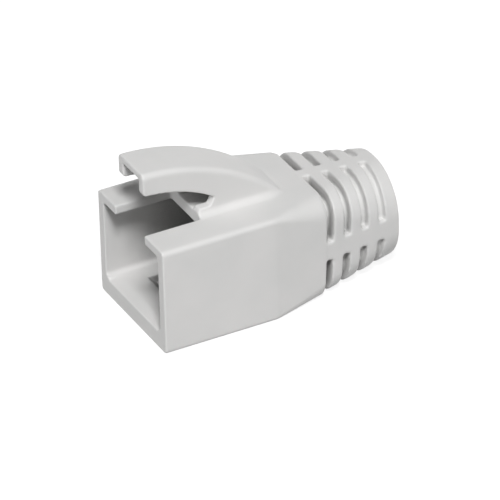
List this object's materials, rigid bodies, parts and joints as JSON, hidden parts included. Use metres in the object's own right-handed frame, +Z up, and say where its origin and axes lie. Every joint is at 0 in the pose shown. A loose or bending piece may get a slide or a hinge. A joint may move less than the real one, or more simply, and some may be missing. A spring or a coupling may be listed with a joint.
{
  "type": "modular plug strain relief boot",
  "caption": "Slip-on strain relief boot for a modular network plug: square plug pocket, latch guard hood and a slotted, tapering cable tail.",
  "frame": {"origin": "on the flat underside, at the middle of the open plug mouth", "axes": "+X from the open plug mouth to the cable end, +Z up with the latch slot and hood on top, +Y across the boot, which is symmetric about the plane Y = 0"},
  "size_m": [0.0271, 0.014, 0.018],
  "materials": {
    "boot": "satin"
  },
  "bodies": {
    "root": {"boot": "boot"}
  },
  "joints": []
}
